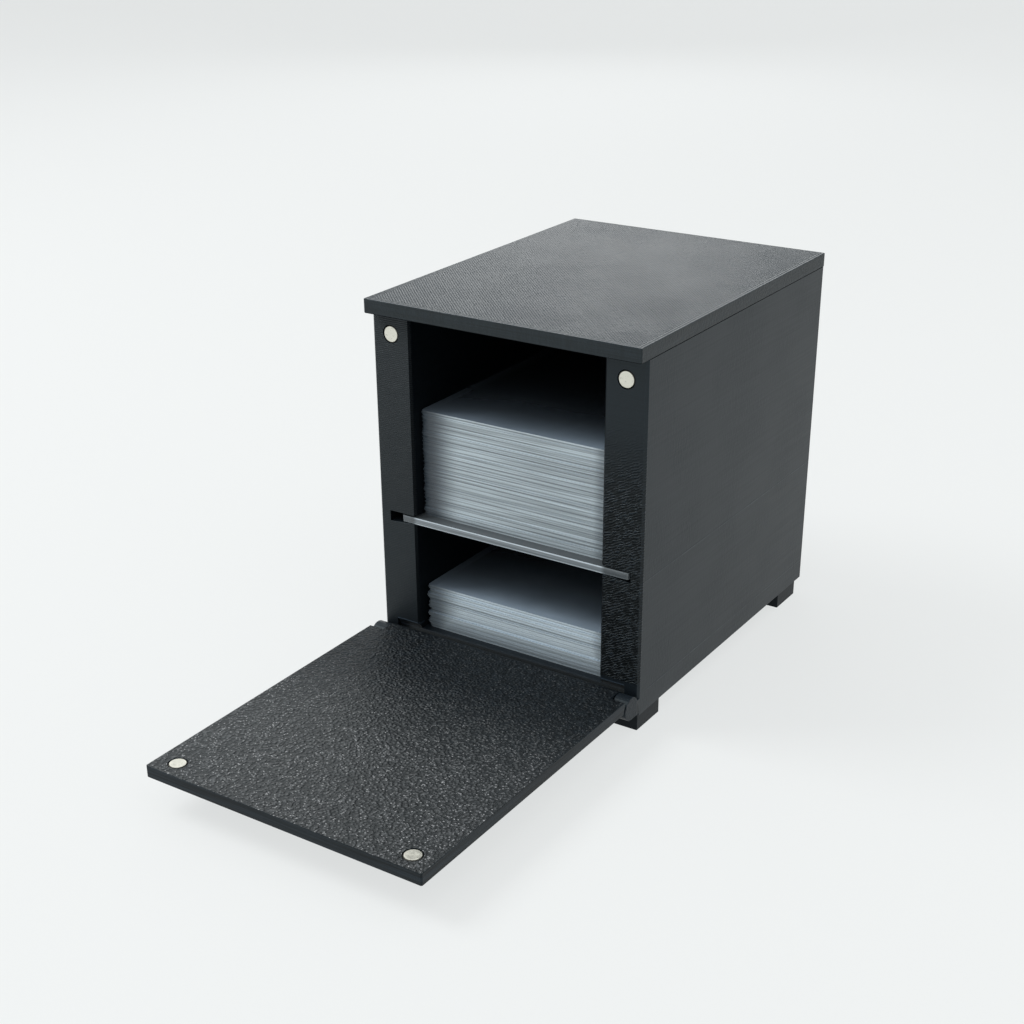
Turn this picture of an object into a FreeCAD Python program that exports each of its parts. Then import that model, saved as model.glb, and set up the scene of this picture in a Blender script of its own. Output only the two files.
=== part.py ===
import FreeCAD, Part
import os

# Storage box for trading cards: a tall open-fronted box with a lift-off lid, a
# front door hinged along its lower edge, a clear shelf and two stacks of clear
# card holders.  Millimetres, +Z up, the front of the box faces -Y.  The door is
# drawn open and level.  The origin is under the middle of the whole outline.

# Driving sizes: alias, value, what it is

SIZES = [
    ("side_wall", 16.0, "thickness of the two side walls"),
    ("body_depth", 136.0, "outside depth of the box"),
    ("body_height", 129.0, "underside of the box to underside of the lid"),
    ("holder_play", 1.8, "how much wider the opening is than a card holder"),
    ("back_wall", 4.0, "thickness of the back wall"),
    ("floor_thick", 8.0, "thickness of the floor"),
    ("corner_bevel", 0.8, "bevel on the upright edges"),
    ("groove_level", 51.0, "underside of the box to the floor of the shelf grooves"),
    ("groove_height", 3.2, "height of the shelf grooves"),
    ("groove_depth", 11.5, "how far the grooves cut into the side walls"),
    ("groove_lip", 1.0, "level part of the groove floors beside the opening"),
    ("groove_fall", 0.9, "how far the groove floors fall away towards their ends"),
    ("shelf_thick", 2.5, "thickness of the clear shelf"),
    ("shelf_side_play", 6.0, "how much wider the grooves are than the clear shelf"),
    ("shelf_setback", 0.2, "front of the box to the front of the clear shelf"),
    ("shelf_back_play", 3.8, "back wall to the back of the clear shelf"),
    ("shelf_corner", 1.0, "corner radius of the clear shelf"),
    ("shelf_shift", 2.1, "how far the loose shelf sits to the right"),
    ("lid_thick", 5.1, "thickness of the lid"),
    ("lid_overhang", 4.6, "how far the lid reaches past the front"),
    ("rim_height", 2.6, "depth of the locating rim under the lid"),
    ("rim_wall", 3.0, "wall of the locating rim"),
    ("rim_play", 0.3, "play round the locating rim"),
    ("rim_setback", 8.0, "front of the box to the front of the rim"),
    ("axis_forward", 4.9, "hinge axis in front of the box"),
    ("axis_height", 5.2, "hinge axis above the underside of the box"),
    ("lobe_radius", 4.3, "radius of the two hinge lobes"),
    ("lobe_width", 5.6, "width of a hinge lobe"),
    ("lobe_neck", 1.4, "top of the lobe neck above the hinge axis"),
    ("cove_radius", 7.2, "radius of the hollow behind the door barrel"),
    ("barrel_gap", 0.4, "play between the barrel and a lobe"),
    ("pin_radius", 1.5, "radius of the hinge pin"),
    ("pin_play", 0.06, "radial play of the door on the pin"),
    ("pin_seat_play", 0.02, "radial play of the pin in the lobes"),
    ("pin_sink", 0.5, "left end of the pin below the lobe face"),
    ("pin_skin", 1.6, "closed end wall of the right lobe"),
    ("door_top_gap", 1.0, "free edge of the closed door to the underside of the lid"),
    ("door_thick", 4.4, "thickness of the door"),
    ("door_gap", 0.3, "closed door to the front of the box"),
    ("door_notch", 4.7, "straight part of the notch round a lobe"),
    ("notch_radius", 5.3, "round part of the notch round a lobe"),
    ("magnet_radius", 3.175, "radius of the disc magnets"),
    ("magnet_thick", 2.0, "thickness of the disc magnets"),
    ("magnet_play", 0.15, "radial play of a magnet in its pocket"),
    ("magnet_side", 7.9, "side of the box to the middle of a magnet"),
    ("magnet_edge", 6.6, "free edge of the door to the middle of a magnet"),
    ("foot_height", 6.5, "height of the feet"),
    ("foot_length", 16.0, "front to back length of a foot"),
    ("foot_width", 15.0, "width of a foot"),
    ("foot_inset", 0.8, "feet in from the sides and the front"),
    ("foot_back_inset", 4.0, "rear feet in from the back"),
    ("holder_width", 76.2, "width of a card holder"),
    ("holder_length", 101.6, "length of a card holder"),
    ("holder_thick", 1.5, "thickness of a card holder"),
    ("holder_pitch", 1.55, "height taken by one holder in a stack"),
    ("stack_setback", 4.6, "front of the box to the front of the stacks"),
]

UPPER_COUNT = 26
# sideways and backward shift of each holder in the loose lower stack
LOWER_SHIFTS = [
    (0.5, 0.0), (-0.3, 0.5), (0.7, 0.2), (0.0, 0.9), (0.8, 0.4),
    (-0.4, 0.1), (0.4, 0.7), (-0.6, 0.3), (0.2, 0.0), (-0.2, 0.6),
    (0.1, 0.2),
]
UPPER_DRIFT = 0.12

doc = FreeCAD.newDocument("card_storage_box")
sheet = doc.addObject("Spreadsheet::Sheet", "Sizes")
for row, (alias, value, note) in enumerate(SIZES, start=1):
    sheet.set("A%d" % row, note)
    sheet.set("B%d" % row, str(value))
    sheet.setAlias("B%d" % row, alias)
doc.recompute()


def S(alias):
    return "Sizes." + alias


# Expressions shared by several pieces

OPEN_HALF = "((Sizes.holder_width + Sizes.holder_play) / 2)"
HALF = "(" + OPEN_HALF + " + Sizes.side_wall)"
BODY_WIDTH = "(2 * " + HALF + ")"
DOOR_LENGTH = "(Sizes.body_height - Sizes.axis_height - Sizes.door_top_gap)"
FRONT = "((Sizes.axis_forward + " + DOOR_LENGTH + " - Sizes.body_depth) / 2)"
BACK = "(" + FRONT + " + Sizes.body_depth)"
UNDER = "Sizes.foot_height"
TOP = "(Sizes.foot_height + Sizes.body_height)"
FLOOR = "(Sizes.foot_height + Sizes.floor_thick)"
AXIS_Y = "(" + FRONT + " - Sizes.axis_forward)"
AXIS_Z = "(Sizes.foot_height + Sizes.axis_height)"
BARREL = "(Sizes.axis_forward - Sizes.door_gap)"
BARREL_HALF = "(" + HALF + " - Sizes.lobe_width - Sizes.barrel_gap)"
GROOVE = "(Sizes.foot_height + Sizes.groove_level)"
MAGNET_X = "(" + HALF + " - Sizes.magnet_side)"
MAGNET_OUT = "(" + DOOR_LENGTH + " - Sizes.magnet_edge)"
MAGNET_HOLE = "(Sizes.magnet_radius + Sizes.magnet_play)"
DOOR_FACE = "(" + AXIS_Z + " + " + BARREL + ")"


# Helpers

def bind(obj, **expressions):
    for prop, text in expressions.items():
        obj.setExpression(prop.replace("__", "."), text)


def place(obj, x, y, z):
    obj.setExpression("Placement.Base.x", x)
    obj.setExpression("Placement.Base.y", y)
    obj.setExpression("Placement.Base.z", z)


def box(owner, kind, name, x, y, z):
    """A block between pairs of expressions; owner is a Body, or None for a loose solid."""
    if owner is None:
        obj = doc.addObject("Part::Box", name)
    else:
        obj = owner.newObject("PartDesign::%sBox" % kind, name)
    place(obj, x[0], y[0], z[0])
    for prop, span in (("Length", x), ("Width", y), ("Height", z)):
        obj.setExpression(prop, "(%s) - (%s)" % (span[1], span[0]))
    return obj


def rod(owner, kind, name, along, start, length, radius):
    """A cylinder along X, Y or Z; start is its x, y, z as expressions."""
    if owner is None:
        obj = doc.addObject("Part::Cylinder", name)
    else:
        obj = owner.newObject("PartDesign::%sCylinder" % kind, name)
    turn = {"x": ((0, 1, 0), 90), "y": ((1, 0, 0), -90), "z": ((0, 0, 1), 0)}[along]
    obj.Placement = FreeCAD.Placement(
        FreeCAD.Vector(), FreeCAD.Rotation(FreeCAD.Vector(*turn[0]), turn[1]))
    place(obj, *start)
    bind(obj, Radius=radius, Height=length)
    return obj


def new_body(label):
    body = doc.addObject("PartDesign::Body", label)
    body.Label = label
    return body


def group(label, members):
    obj = doc.addObject("Part::Compound", label)
    obj.Label = label
    obj.Links = members
    return obj


def upright_edges(shape, points, tolerance=0.05):
    """Names of the vertical edges that stand on the given x, y points."""
    found = []
    for number, edge in enumerate(shape.Edges, start=1):
        a = edge.Vertexes[0].Point
        b = edge.Vertexes[-1].Point
        if abs(a.x - b.x) > 1e-4 or abs(a.y - b.y) > 1e-4 or abs(a.z - b.z) < 0.5:
            continue
        for px, py in points:
            if abs(a.x - px) < tolerance and abs(a.y - py) < tolerance:
                found.append("Edge%d" % number)
                break
    return found


def bevel(body, name, points, size):
    """Bevel the vertical edges of the body's last feature that stand on the points."""
    doc.recompute()
    tip = body.Tip
    obj = body.newObject("PartDesign::Chamfer", name)
    obj.Base = (tip, upright_edges(tip.Shape, points))
    obj.setExpression("Size", size)
    body.Tip = obj
    doc.recompute()
    return obj


def value(text):
    """The present value of an expression, for finding edges."""
    names = {alias: float(getattr(sheet, alias)) for alias, _, _ in SIZES}
    for alias in sorted(names, key=len, reverse=True):
        text = text.replace("Sizes." + alias, repr(names[alias]))
    cell = doc.addObject("Spreadsheet::Sheet", "Scratch")
    cell.set("A1", "=" + text)
    doc.recompute()
    result = float(cell.A1)
    doc.removeObject(cell.Name)
    return result


# Box shell: thick side walls, back wall, floor, grooves, hinge lobes

shell = new_body("box_shell")
box(shell, "Additive", "ShellBlock", ("-" + HALF, HALF), (FRONT, BACK), (UNDER, TOP))
box(shell, "Subtractive", "Cavity", ("-" + OPEN_HALF, OPEN_HALF),
    (FRONT + " - 1", BACK + " - Sizes.back_wall"), (FLOOR, TOP + " + 1"))
half = value(HALF)
open_half = value(OPEN_HALF)
front = value(FRONT)
back = value(BACK)
bevel(shell, "ShellBevels",
      [(side * half, y) for side in (-1, 1) for y in (front, back)]
      + [(side * open_half, front) for side in (-1, 1)],
      S("corner_bevel"))
box(shell, "Subtractive", "ShelfGrooves",
    ("-%s - Sizes.groove_depth" % OPEN_HALF, "%s + Sizes.groove_depth" % OPEN_HALF),
    (FRONT + " - 1", BACK + " - Sizes.back_wall"),
    (GROOVE, GROOVE + " + Sizes.groove_height"))
for side, sign, turn, start in (("Left", "-", 180, BACK + " - Sizes.back_wall"),
                                ("Right", "", 0, FRONT + " - 1")):
    fall = shell.newObject("PartDesign::SubtractiveWedge", side + "GrooveFall")
    fall.Placement = FreeCAD.Placement(
        FreeCAD.Vector(), FreeCAD.Rotation(FreeCAD.Vector(0, 0, 1), turn)
        * FreeCAD.Rotation(FreeCAD.Vector(1, 0, 0), -90))
    place(fall, "%s(%s + Sizes.groove_lip)" % (sign, OPEN_HALF), start, GROOVE)
    reach = "Sizes.groove_depth - Sizes.groove_lip"
    run = "(%s - Sizes.back_wall) - (%s - 1)" % (BACK, FRONT)
    bind(fall, Xmin="0 mm", Ymin="0 mm", Zmin="0 mm", Xmax=reach, Ymax=S("groove_fall"),
         Zmax=run, X2min=reach, X2max=reach, Z2min="0 mm", Z2max=run)
rod(shell, "Subtractive", "BarrelCove", "x",
    ("-" + BARREL_HALF + " - Sizes.barrel_gap / 2", AXIS_Y, AXIS_Z),
    "2 * %s + Sizes.barrel_gap" % BARREL_HALF, S("cove_radius"))
for side, left_edge in (("Left", "-" + HALF), ("Right", HALF + " - Sizes.lobe_width")):
    rod(shell, "Additive", side + "Lobe", "x", (left_edge, AXIS_Y, AXIS_Z),
        S("lobe_width"), S("lobe_radius"))
    box(shell, "Additive", side + "LobeNeck",
        (left_edge, left_edge + " + Sizes.lobe_width"), (AXIS_Y, FRONT + " + 0.9"),
        (AXIS_Z + " - Sizes.lobe_radius", AXIS_Z + " + Sizes.lobe_neck"))
rod(shell, "Subtractive", "PinBore", "x", ("-%s - 1" % HALF, AXIS_Y, AXIS_Z),
    BODY_WIDTH + " + 1 - Sizes.pin_skin", "Sizes.pin_radius + Sizes.pin_seat_play")
for side, sign in (("Left", "-"), ("Right", "")):
    rod(shell, "Subtractive", side + "PostMagnetPocket", "y",
        (sign + MAGNET_X, FRONT + " - 1", AXIS_Z + " + " + MAGNET_OUT),
        "Sizes.magnet_thick + 1.1", MAGNET_HOLE)

# Lid: plate with a front overhang and a locating rim that drops into the opening

lid = new_body("lid")
box(lid, "Additive", "LidPlate", ("-" + HALF, HALF), (FRONT + " - Sizes.lid_overhang", BACK),
    (TOP, TOP + " + Sizes.lid_thick"))
bevel(lid, "LidBevels",
      [(side * half, y) for side in (-1, 1)
       for y in (value(FRONT + " - Sizes.lid_overhang"), back)],
      "Sizes.corner_bevel / 2")
rim_x = OPEN_HALF + " - Sizes.rim_play"
rim_front = FRONT + " + Sizes.rim_setback"
rim_back = BACK + " - Sizes.back_wall - Sizes.rim_play"
box(lid, "Additive", "RimBlock", ("-(%s)" % rim_x, rim_x), (rim_front, rim_back),
    (TOP + " - Sizes.rim_height", TOP + " + 0.5"))
box(lid, "Subtractive", "RimHollow",
    ("-(%s - Sizes.rim_wall)" % rim_x, rim_x + " - Sizes.rim_wall"),
    (rim_front + " + Sizes.rim_wall", rim_back + " - Sizes.rim_wall"),
    (TOP + " - Sizes.rim_height - 1", TOP))

# Door: plate with a barrel between the lobes, notched round the lobes

door = new_body("door")
box(door, "Additive", "DoorPlate", ("-" + HALF, HALF),
    (AXIS_Y + " - " + DOOR_LENGTH, AXIS_Y), (DOOR_FACE + " - Sizes.door_thick", DOOR_FACE))
free_edge = value(AXIS_Y + " - " + DOOR_LENGTH)
bevel(door, "DoorBevels", [(side * half, free_edge) for side in (-1, 1)],
      "Sizes.corner_bevel / 2")
rod(door, "Additive", "Barrel", "x", ("-" + BARREL_HALF, AXIS_Y, AXIS_Z),
    "2 * " + BARREL_HALF, BARREL)
for side, left_edge in (("Left", "-%s - 1" % HALF), ("Right", BARREL_HALF)):
    width = "Sizes.lobe_width + Sizes.barrel_gap + 1"
    box(door, "Subtractive", side + "NotchBlock", (left_edge, left_edge + " + " + width),
        (AXIS_Y + " - Sizes.door_notch", AXIS_Y + " + 2 * " + BARREL),
        (AXIS_Z + " - 2 * " + BARREL, AXIS_Z + " + 2 * " + BARREL))
    rod(door, "Subtractive", side + "NotchRound", "x", (left_edge, AXIS_Y, AXIS_Z), width,
        S("notch_radius"))
rod(door, "Subtractive", "DoorBore", "x", ("-%s - 1" % HALF, AXIS_Y, AXIS_Z),
    BODY_WIDTH + " + 2", "Sizes.pin_radius + Sizes.pin_play")
for side, sign in (("Left", "-"), ("Right", "")):
    rod(door, "Subtractive", side + "DoorMagnetPocket", "z",
        (sign + MAGNET_X, AXIS_Y + " - " + MAGNET_OUT,
         DOOR_FACE + " - Sizes.magnet_thick - 0.1"),
        "Sizes.magnet_thick + 1.1", MAGNET_HOLE)

# Hinge pin: pushed in from the left lobe, stopped by the closed right lobe

pin = rod(None, None, "hinge_pin", "x",
          ("-%s + Sizes.pin_sink" % HALF, AXIS_Y, AXIS_Z),
          BODY_WIDTH + " - Sizes.pin_sink - Sizes.pin_skin - 0.2", S("pin_radius"))
pin.Label = "hinge_pin"

# Clear shelf: flat sheet with rounded corners, loose in the grooves

shelf = new_body("shelf")
SHELF_HALF = "(%s + Sizes.groove_depth - Sizes.shelf_side_play / 2)" % OPEN_HALF
shelf_x = ("Sizes.shelf_shift - " + SHELF_HALF, "Sizes.shelf_shift + " + SHELF_HALF)
shelf_y = (FRONT + " + Sizes.shelf_setback", BACK + " - Sizes.back_wall - Sizes.shelf_back_play")
box(shelf, "Additive", "ShelfSheet", shelf_x, shelf_y, (GROOVE, GROOVE + " + Sizes.shelf_thick"))
doc.recompute()
sheet_feature = shelf.Tip
corners = [(value(x), value(y)) for x in shelf_x for y in shelf_y]
rounds = shelf.newObject("PartDesign::Fillet", "ShelfCorners")
rounds.Base = (sheet_feature, upright_edges(sheet_feature.Shape, corners))
rounds.setExpression("Radius", S("shelf_corner"))
shelf.Tip = rounds

# Disc magnets: a pair in the posts, a pair in the door

post_magnets = []
door_magnets = []
for side, sign in (("Left", "-"), ("Right", "")):
    post_magnets.append(rod(
        None, None, side + "PostMagnet", "y",
        (sign + MAGNET_X, FRONT + " + 0.05", AXIS_Z + " + " + MAGNET_OUT),
        S("magnet_thick"), S("magnet_radius")))
    door_magnets.append(rod(
        None, None, side + "DoorMagnet", "z",
        (sign + MAGNET_X, AXIS_Y + " - " + MAGNET_OUT,
         DOOR_FACE + " - Sizes.magnet_thick - 0.05"),
        S("magnet_thick"), S("magnet_radius")))
magnets_post = group("magnets_post", post_magnets)
magnets_door = group("magnets_door", door_magnets)

# Feet: four equal blocks under the side walls

foot_blocks = []
for side, x_low in (("Left", "-%s + Sizes.foot_inset" % HALF),
                    ("Right", HALF + " - Sizes.foot_inset - Sizes.foot_width")):
    for end, y_low in (("Front", FRONT + " + Sizes.foot_inset"),
                       ("Rear", BACK + " - Sizes.foot_back_inset - Sizes.foot_length")):
        foot_blocks.append(box(
            None, None, side + end + "Foot", (x_low, x_low + " + Sizes.foot_width"),
            (y_low, y_low + " + Sizes.foot_length"), ("0", UNDER)))
feet = group("feet", foot_blocks)


# Card holders: clear rigid sheaths in two stacks

def holder(name, shift_x, shift_y, level):
    x_low = "-Sizes.holder_width / 2 + (%s)" % shift_x
    y_low = FRONT + " + Sizes.stack_setback + (%s)" % shift_y
    block = box(None, None, name + "Block", (x_low, x_low + " + Sizes.holder_width"),
                (y_low, y_low + " + Sizes.holder_length"),
                (level, level + " + Sizes.holder_thick"))
    return block


def stack(label, shifts, base):
    blocks = []
    for number, (shift_x, shift_y) in enumerate(shifts):
        level = "%s + %d * Sizes.holder_pitch" % (base, number)
        blocks.append(holder("%s%02d" % (label.title().replace("_", ""), number),
                             repr(shift_x), repr(shift_y), level))
    return group(label, blocks)


upper_shifts = [(-0.45 + UPPER_DRIFT * ((7 * n) % 5 - 2), UPPER_DRIFT * ((3 * n) % 4))
                for n in range(UPPER_COUNT)]
upper = stack("upper_card_holders", upper_shifts, GROOVE + " + Sizes.shelf_thick")
lower = stack("lower_card_holders", LOWER_SHIFTS, FLOOR)

# Recompute, test and write every piece

doc.recompute()
pieces = [shell, lid, door, pin, shelf, magnets_post, magnets_door, feet, upper, lower]
for obj in doc.Objects:
    if "Invalid" in obj.State or "Error" in obj.State:
        raise RuntimeError("bad feature: %s %s" % (obj.Name, obj.State))
for piece in pieces:
    if piece.Shape.isNull() or not piece.Shape.isValid() or not piece.Shape.Solids:
        raise RuntimeError("bad shape: " + piece.Label)
os.makedirs("parts", exist_ok=True)
for piece in pieces:
    piece.Shape.exportStep(os.path.join("parts", piece.Label + ".step"))
    bounds = piece.Shape.BoundBox
    print("%-20s solids %2d volume %10.1f  x %.2f..%.2f y %.2f..%.2f z %.2f..%.2f" % (
        piece.Label, len(piece.Shape.Solids), piece.Shape.Volume, bounds.XMin, bounds.XMax,
        bounds.YMin, bounds.YMax, bounds.ZMin, bounds.ZMax))
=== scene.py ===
import math

import bmesh
import bpy
from bpy.props import FloatProperty, FloatVectorProperty, IntProperty, PointerProperty
from mathutils import Euler, Matrix, Vector


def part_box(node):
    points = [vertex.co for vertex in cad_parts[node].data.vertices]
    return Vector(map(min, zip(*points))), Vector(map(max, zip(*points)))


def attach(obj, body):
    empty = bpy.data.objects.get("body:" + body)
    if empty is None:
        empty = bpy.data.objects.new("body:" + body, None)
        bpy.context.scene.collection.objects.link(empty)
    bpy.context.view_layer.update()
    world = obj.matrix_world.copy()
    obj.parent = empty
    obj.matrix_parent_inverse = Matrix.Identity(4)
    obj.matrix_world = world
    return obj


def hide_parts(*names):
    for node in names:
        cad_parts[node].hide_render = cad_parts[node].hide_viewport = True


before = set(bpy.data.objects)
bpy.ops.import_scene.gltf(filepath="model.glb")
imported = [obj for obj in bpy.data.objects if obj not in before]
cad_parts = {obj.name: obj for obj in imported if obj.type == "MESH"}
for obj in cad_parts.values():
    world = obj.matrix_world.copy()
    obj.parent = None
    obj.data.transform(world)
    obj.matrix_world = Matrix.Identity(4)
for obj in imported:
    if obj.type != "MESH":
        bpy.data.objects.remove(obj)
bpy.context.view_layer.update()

bl_info = {
    "name": "Trading card storage box",
    "version": (1, 0, 0),
    "blender": (4, 5, 0),
    "location": "3D View > Sidebar > Card box",
    "description": "Dresses a printed card storage box with its lid, door, shelf and card holders",
    "category": "Add Mesh",
}

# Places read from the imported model, in metres

SHELL_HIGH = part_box("box_shell")[1]
LID_LOW, LID_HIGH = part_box("lid")
DOOR_LOW, DOOR_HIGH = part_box("door")
PIN_LOW, PIN_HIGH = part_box("hinge_pin")
SHELF_LOW, SHELF_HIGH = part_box("shelf")
UPPER_LOW, UPPER_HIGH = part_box("upper_card_holders")
LOWER_LOW, LOWER_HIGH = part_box("lower_card_holders")
MAGNET_SINK = 0.00005
FRONT_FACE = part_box("magnets_post")[0][1] - MAGNET_SINK
GROOVE_SEAM = SHELF_LOW[2]
FLOOR_SEAM = LOWER_LOW[2] + 0.0001
COVE_LIP = PIN_HIGH[2] + 0.0038
COVE_STEP = PIN_HIGH[2] + 0.0009
LEATHER_FLOOR = PIN_HIGH[2] + 0.0054
LOBE_INNER = SHELL_HIGH[0] - 0.0059
POST_INNER = SHELL_HIGH[0] - 0.016

# Where single effects start and end, in metres

LEATHER_FADE = (0.118, 0.082)
# painted light on the door's face fades in over this span
PAINTED_LIGHT_FADE = (-0.028, -0.097)
DIM_LEFT = (DOOR_LOW[0], -0.020)
LOWER_STACK_FADE = (0.03, 0.06)
# reach of the painted light in the films' flats
PAINTED_LIGHT_DEPTH = 0.020
CUT_PITCH = 0.00104

# Colours of single effects

COOL_CAST = (0.84, 0.965, 0.99, 1.0)
NO_CAST = (1.0, 1.0, 1.0, 1.0)
# painted light on the door's inner face, painted highlights on its pebble tips and painted glints
PAINTED_LIGHT_FACE = (0.034, 0.037, 0.039, 1.0)
PEBBLE_TIP_HIGHLIGHT = (0.118, 0.125, 0.130, 1.0)
FLECK_GLINT = (0.45, 0.46, 0.47, 1.0)
# painted light on the lower stack's film edges
LIT_FILM_EDGE = (0.80, 0.93, 1.0, 1.0)
# the dark inside seen through the welds, and painted shade at the bottom of the lower stack
DARK_INSIDE_AND_SHADE = (0.034, 0.048, 0.063, 1.0)
ROOM_LOW = (0.80, 0.82, 0.825, 1.0)
ROOM_HIGH = (0.98, 0.99, 1.0, 1.0)
LAMP_COLOUR = (0.985, 0.995, 1.0)

# The camera, and the studio's sheet of paper in metres

CAMERA_PLACE = (0.29206, -0.44188, 0.29466)
CAMERA_TURN = (1.11982, 0.01091, 0.5883)
CAMERA_SHIFT = (0.01356, 0.07952)
PAPER_HALF_WIDTH = 3.4
PAPER_FRONT, PAPER_BACK = -1.6, 1.5
PAPER_CURVE = 0.9
PAPER_TOP = 3.2
PAPER_STEPS = 12


# Sizes and colours that a user may change

def number(name, description, default, low, high, **options):
    return FloatProperty(name=name, description=description, default=default, min=low, max=high,
                         **options)


def metres(*values):
    return number(*values, precision=5, unit="LENGTH")


def tint(name, description, default):
    return FloatVectorProperty(name=name, description=description, default=default,
                               min=0.0, max=1.0, size=3, subtype="COLOR")


def count(name, description, default):
    return IntProperty(name=name, description=description, default=default, min=1, max=60)


class PrintSettings(bpy.types.PropertyGroup):
    edge_round: metres(
        "Edge rounding", "Rounding of the printed parts' edges", 0.00022, 0.00002, 0.001)
    layer_height: metres("Layer height", "Height of one printed layer", 0.0002, 0.00005, 0.0006)
    hatch_pitch: metres(
        "Lid line pitch", "Distance between the slanting lines on the lid's top",
        0.0009, 0.0002, 0.003)
    pebble_size: metres(
        "Pebble size", "Width of one bump on the door's inner face", 0.00110, 0.0002, 0.004)
    colour: tint("Plastic colour", "Colour of the printed black plastic", (0.0080, 0.0118, 0.0162))
    roughness: number(
        "Plastic roughness", "Roughness of the printed plastic", 0.44, 0.0, 1.0, subtype="FACTOR")


class HolderSettings(bpy.types.PropertyGroup):
    upper_count: count("Holders on the shelf", "Card holders in the upper stack", 26)
    lower_count: count("Holders on the floor", "Card holders in the lower stack", 11)
    pitch: metres("Stack pitch", "Height taken by one holder", 0.00155, 0.001, 0.004)
    length: metres("Holder length", "Front to back length of a holder", 0.1016, 0.05, 0.2)
    width: metres("Holder width", "Width of a holder", 0.0762, 0.05, 0.2)
    film: metres(
        "Film thickness", "Thickness of each of a holder's two films", 0.00052, 0.0001, 0.001)
    weld: metres(
        "Weld width", "Width of the welded strip along a holder's sides",
        0.0026, 0.0005, 0.008)
    corner: metres("Corner radius", "Rounding of a holder's corners", 0.0011, 0.0001, 0.005)
    edge_colour: tint(
        "Film edge colour", "Colour of the cut edges of the films", (0.462, 0.535, 0.573))
    film_colour: tint(
        "Film colour", "Colour of the flat of the films over the dark inside",
        (0.375, 0.475, 0.580))


class HardwareSettings(bpy.types.PropertyGroup):
    magnet_edge: metres("Magnet edge", "Rounding of a magnet's rim", 0.00042, 0.0, 0.001)
    magnet_colour: tint(
        "Magnet colour", "Colour of the magnets' nickel plating", (0.81, 0.80, 0.71))
    pin_edge: metres("Pin bevel", "Bevel on the ends of the hinge pin", 0.0003, 0.0, 0.001)
    pin_colour: tint("Pin colour", "Colour of the steel hinge pin", (0.52, 0.52, 0.51))
    shelf_edge: metres("Shelf edge", "Bevel along the clear shelf's edges", 0.00012, 0.0, 0.001)
    shelf_corner: metres("Shelf corner", "Corner radius of the clear shelf", 0.001, 0.0002, 0.02)
    shelf_colour: tint(
        "Shelf edge colour", "Colour of the clear shelf's cut edge", (0.42, 0.48, 0.52))


class StudioSettings(bpy.types.PropertyGroup):
    floor_colour: tint(
        "Floor colour", "Colour of the floor and the backdrop", (0.872, 0.892, 0.890))
    sky: number("Room light", "Strength of the even light from all round", 0.71, 0.0, 3.0)
    soft_box: number(
        "Soft box power", "Power of the large light at the upper left, in watts",
        12.0, 0.0, 200.0)
    back_light: number(
        "Back light power", "Power of the low light behind the box, in watts",
        2.9, 0.0, 200.0)
    focal_length: number(
        "Focal length", "The camera's focal length in millimetres", 57.537, 10.0, 300.0)


# Small tools

def settings(name):
    return getattr(bpy.context.scene, "card_box_" + name)


def configure(thing, **options):
    for name, value in options.items():
        setattr(thing, name, value)
    return thing


def middle(low, high):
    return tuple((a + b) / 2 for a, b in zip(low, high))


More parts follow.
